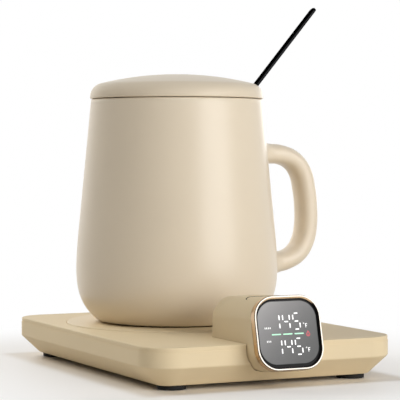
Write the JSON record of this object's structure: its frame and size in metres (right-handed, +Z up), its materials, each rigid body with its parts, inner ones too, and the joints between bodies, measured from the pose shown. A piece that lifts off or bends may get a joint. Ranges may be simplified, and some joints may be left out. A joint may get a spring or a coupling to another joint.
{
  "type": "mug warmer",
  "caption": "Mug warmer: a heated stand with a tilted temperature display and a push button, carrying a lidded ceramic mug with its stirring spoon.",
  "frame": {"origin": "on the desk, under the middle of the space that the whole object takes up", "axes": "+Z up, the display faces -Y and the cord bush +Y, and the mug's handle points along +X"},
  "size_m": [0.1322, 0.1742, 0.1663],
  "materials": {
    "cream_plastic": "satin cream moulding",
    "cream_coating": "satin cream heat-proof coating on aluminium",
    "cream_glaze": "opaque satin cream ceramic glaze",
    "black_rubber": "matt",
    "screw_steel": "plain",
    "spring_steel": "drawn wire",
    "rose_gold": "polished rose gold",
    "smoked_window": "smoked window, lit from behind",
    "black_plastic": "matt",
    "black_steel": "black coated stainless steel",
    "circuit_board": "green solder mask",
    "mica": "mica film",
    "white_fibre": "ceramic fibre felt",
    "grey_nylon": "heat-proof nylon",
    "fuse_white": "ceramic tube"
  },
  "bodies": {
    "stand": {"bottom_tub": "cream_plastic", "top_cover": "cream_plastic", "rubber_foot_1": "black_rubber", "rubber_foot_2": "black_rubber", "rubber_foot_3": "black_rubber", "rubber_foot_4": "black_rubber", "cover_screw_1": "screw_steel", "cover_screw_2": "screw_steel", "cover_screw_3": "screw_steel", "cover_screw_4": "screw_steel", "plate_spring_1": "spring_steel", "plate_spring_2": "spring_steel", "plate_spring_3": "spring_steel", "weight_switch": "black_plastic", "main_circuit_board": "circuit_board", "cord_bush": "black_rubber", "display_housing": "cream_plastic", "bezel_ring": "rose_gold", "display_glass": "smoked_window", "light_mask": "black_plastic", "display_board": "circuit_board", "button_switch": "black_plastic", "button_board": "circuit_board"},
    "heating_unit": {"heating_plate": "cream_coating", "heater_element": "mica", "insulation_pad": "white_fibre", "plate_carrier": "grey_nylon", "temperature_sensor": "screw_steel", "thermal_fuse": "fuse_white"},
    "mug": {"mug_body": "cream_glaze"},
    "mug_lid": {"lid": "cream_glaze"},
    "stirring_spoon": {"spoon": "black_steel"},
    "push_button": {"button_cap": "cream_plastic"}
  },
  "joints": [
    {"name": "plate_press", "type": "slide", "parent": "stand", "child": "heating_unit", "axis": [0, 0, 1], "range_m": [0, 0.0008], "stiffness_N_per_m": 600, "springref_m": 0.0045, "deforming": ["plate_spring_1", "plate_spring_2", "plate_spring_3"]},
    {"name": "mug_lift", "type": "slide", "parent": "heating_unit", "child": "mug", "axis": [0, 0, 1], "range_m": [0, 0.08]},
    {"name": "lid_lift", "type": "slide", "parent": "mug", "child": "mug_lid", "axis": [0, 0, 1], "range_m": [0, 0.06]},
    {"name": "spoon_pull", "type": "slide", "parent": "mug", "child": "stirring_spoon", "axis": [0.6494, 0, 0.7604], "range_m": [0, 0.04]},
    {"name": "button_press", "type": "slide", "parent": "stand", "child": "push_button", "axis": [0, -0.0663, -0.9978], "range_m": [0, 0.0005], "stiffness_N_per_m": 300, "springref_m": -0.001}
  ]
}
